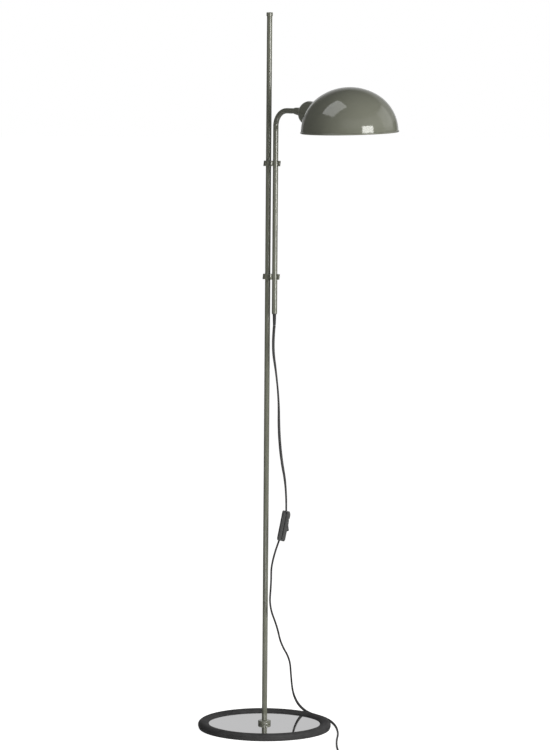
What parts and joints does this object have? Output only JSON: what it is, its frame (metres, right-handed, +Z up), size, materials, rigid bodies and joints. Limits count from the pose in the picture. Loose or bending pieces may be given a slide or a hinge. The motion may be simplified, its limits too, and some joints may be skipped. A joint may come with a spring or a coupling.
{
  "type": "adjustable arm floor lamp",
  "caption": "Slim floor lamp: an arm tube slides and swings beside a pole on two clips and carries a turning dome shade over a round mirror-topped base.",
  "frame": {"origin": "on the floor, at the axis of the pole", "axes": "+Z up along the pole, +X the way the arm reaches at rest"},
  "size_m": [0.4412, 0.3823, 1.35],
  "materials": {
    "lamp_paint": "glossy olive grey enamel",
    "mirror_disc": "mirror polished",
    "ring_rubber": "matte moulded",
    "felt": "pressed felt",
    "steel": "zinc plated",
    "brass": "turned",
    "nylon": "natural matte",
    "cord_sheath": "satin black sheath",
    "tie_plastic": "matte",
    "switch_plastic": "fine semi gloss",
    "plated_pins": "nickel plated",
    "holder_plastic": "moulded phenolic",
    "cap_aluminium": "rolled thread",
    "bulb_glass": "opal"
  },
  "bodies": {
    "stand": {"base_ring": "ring_rubber", "base_disc": "mirror_disc", "base_pad": "felt", "base_washer": "steel", "base_bolt": "steel", "pole_foot_insert": "brass", "pole_collar": "lamp_paint", "pole": "lamp_paint", "pole_cap": "lamp_paint", "cord_lower": "cord_sheath", "cord_coil": "cord_sheath", "cord_tie": "tie_plastic", "plug_relief": "cord_sheath", "plug_body": "switch_plastic", "plug_pins": "plated_pins"},
    "slider": {"upper_pole_liner": "nylon", "lower_pole_liner": "nylon", "switch_front_shell": "switch_plastic", "switch_back_shell": "switch_plastic", "switch_screws": "steel", "switch_contacts": "brass", "rocker_pin": "steel"},
    "clips": {"upper_clip": "lamp_paint", "lower_clip": "lamp_paint", "upper_arm_liner": "nylon", "lower_arm_liner": "nylon", "cord_upper": "cord_sheath"},
    "arm": {"arm_tube": "lamp_paint", "inner_cable": "cord_sheath", "cable_bush": "cord_sheath", "swivel_collar": "lamp_paint", "swivel_nipple": "brass", "swivel_washer": "steel", "nipple_nut": "steel"},
    "head": {"socket_cup": "lamp_paint", "lampholder_body": "holder_plastic", "lampholder_shell": "brass", "lampholder_contact": "brass", "terminal_screws": "steel", "shade_ring": "holder_plastic", "shade": "lamp_paint", "bulb_contact": "brass", "bulb_cap": "cap_aluminium", "bulb_glass": "bulb_glass"},
    "rocker": {"switch_rocker": "switch_plastic"}
  },
  "joints": [
    {"name": "arm_slide", "type": "slide", "parent": "stand", "child": "slider", "axis": [0, 0, 1], "range_m": [-0.3, 0.265], "deforming": ["cord_lower"]},
    {"name": "arm_swing", "type": "hinge", "parent": "slider", "child": "clips", "pos_m": [0, 0, 1.07], "axis": [0, 0, 1], "range_deg": [-150, 150], "deforming": ["cord_upper"]},
    {"name": "arm_turn", "type": "hinge", "parent": "clips", "child": "arm", "pos_m": [0.0185, 0, 1.07], "axis": [0, 0, 1], "range_deg": [-140, 140]},
    {"name": "head_turn", "type": "hinge", "parent": "arm", "child": "head", "pos_m": [0.0735, 0, 1.1682], "axis": [0.9945, 0, -0.1045], "range_deg": [-170, 170]},
    {"name": "switch_rock", "type": "hinge", "parent": "slider", "child": "rocker", "pos_m": [0.04208, 0.01098, 0.38935], "axis": [-0.7071, 0.7071, 0], "range_deg": [0, 14]}
  ]
}
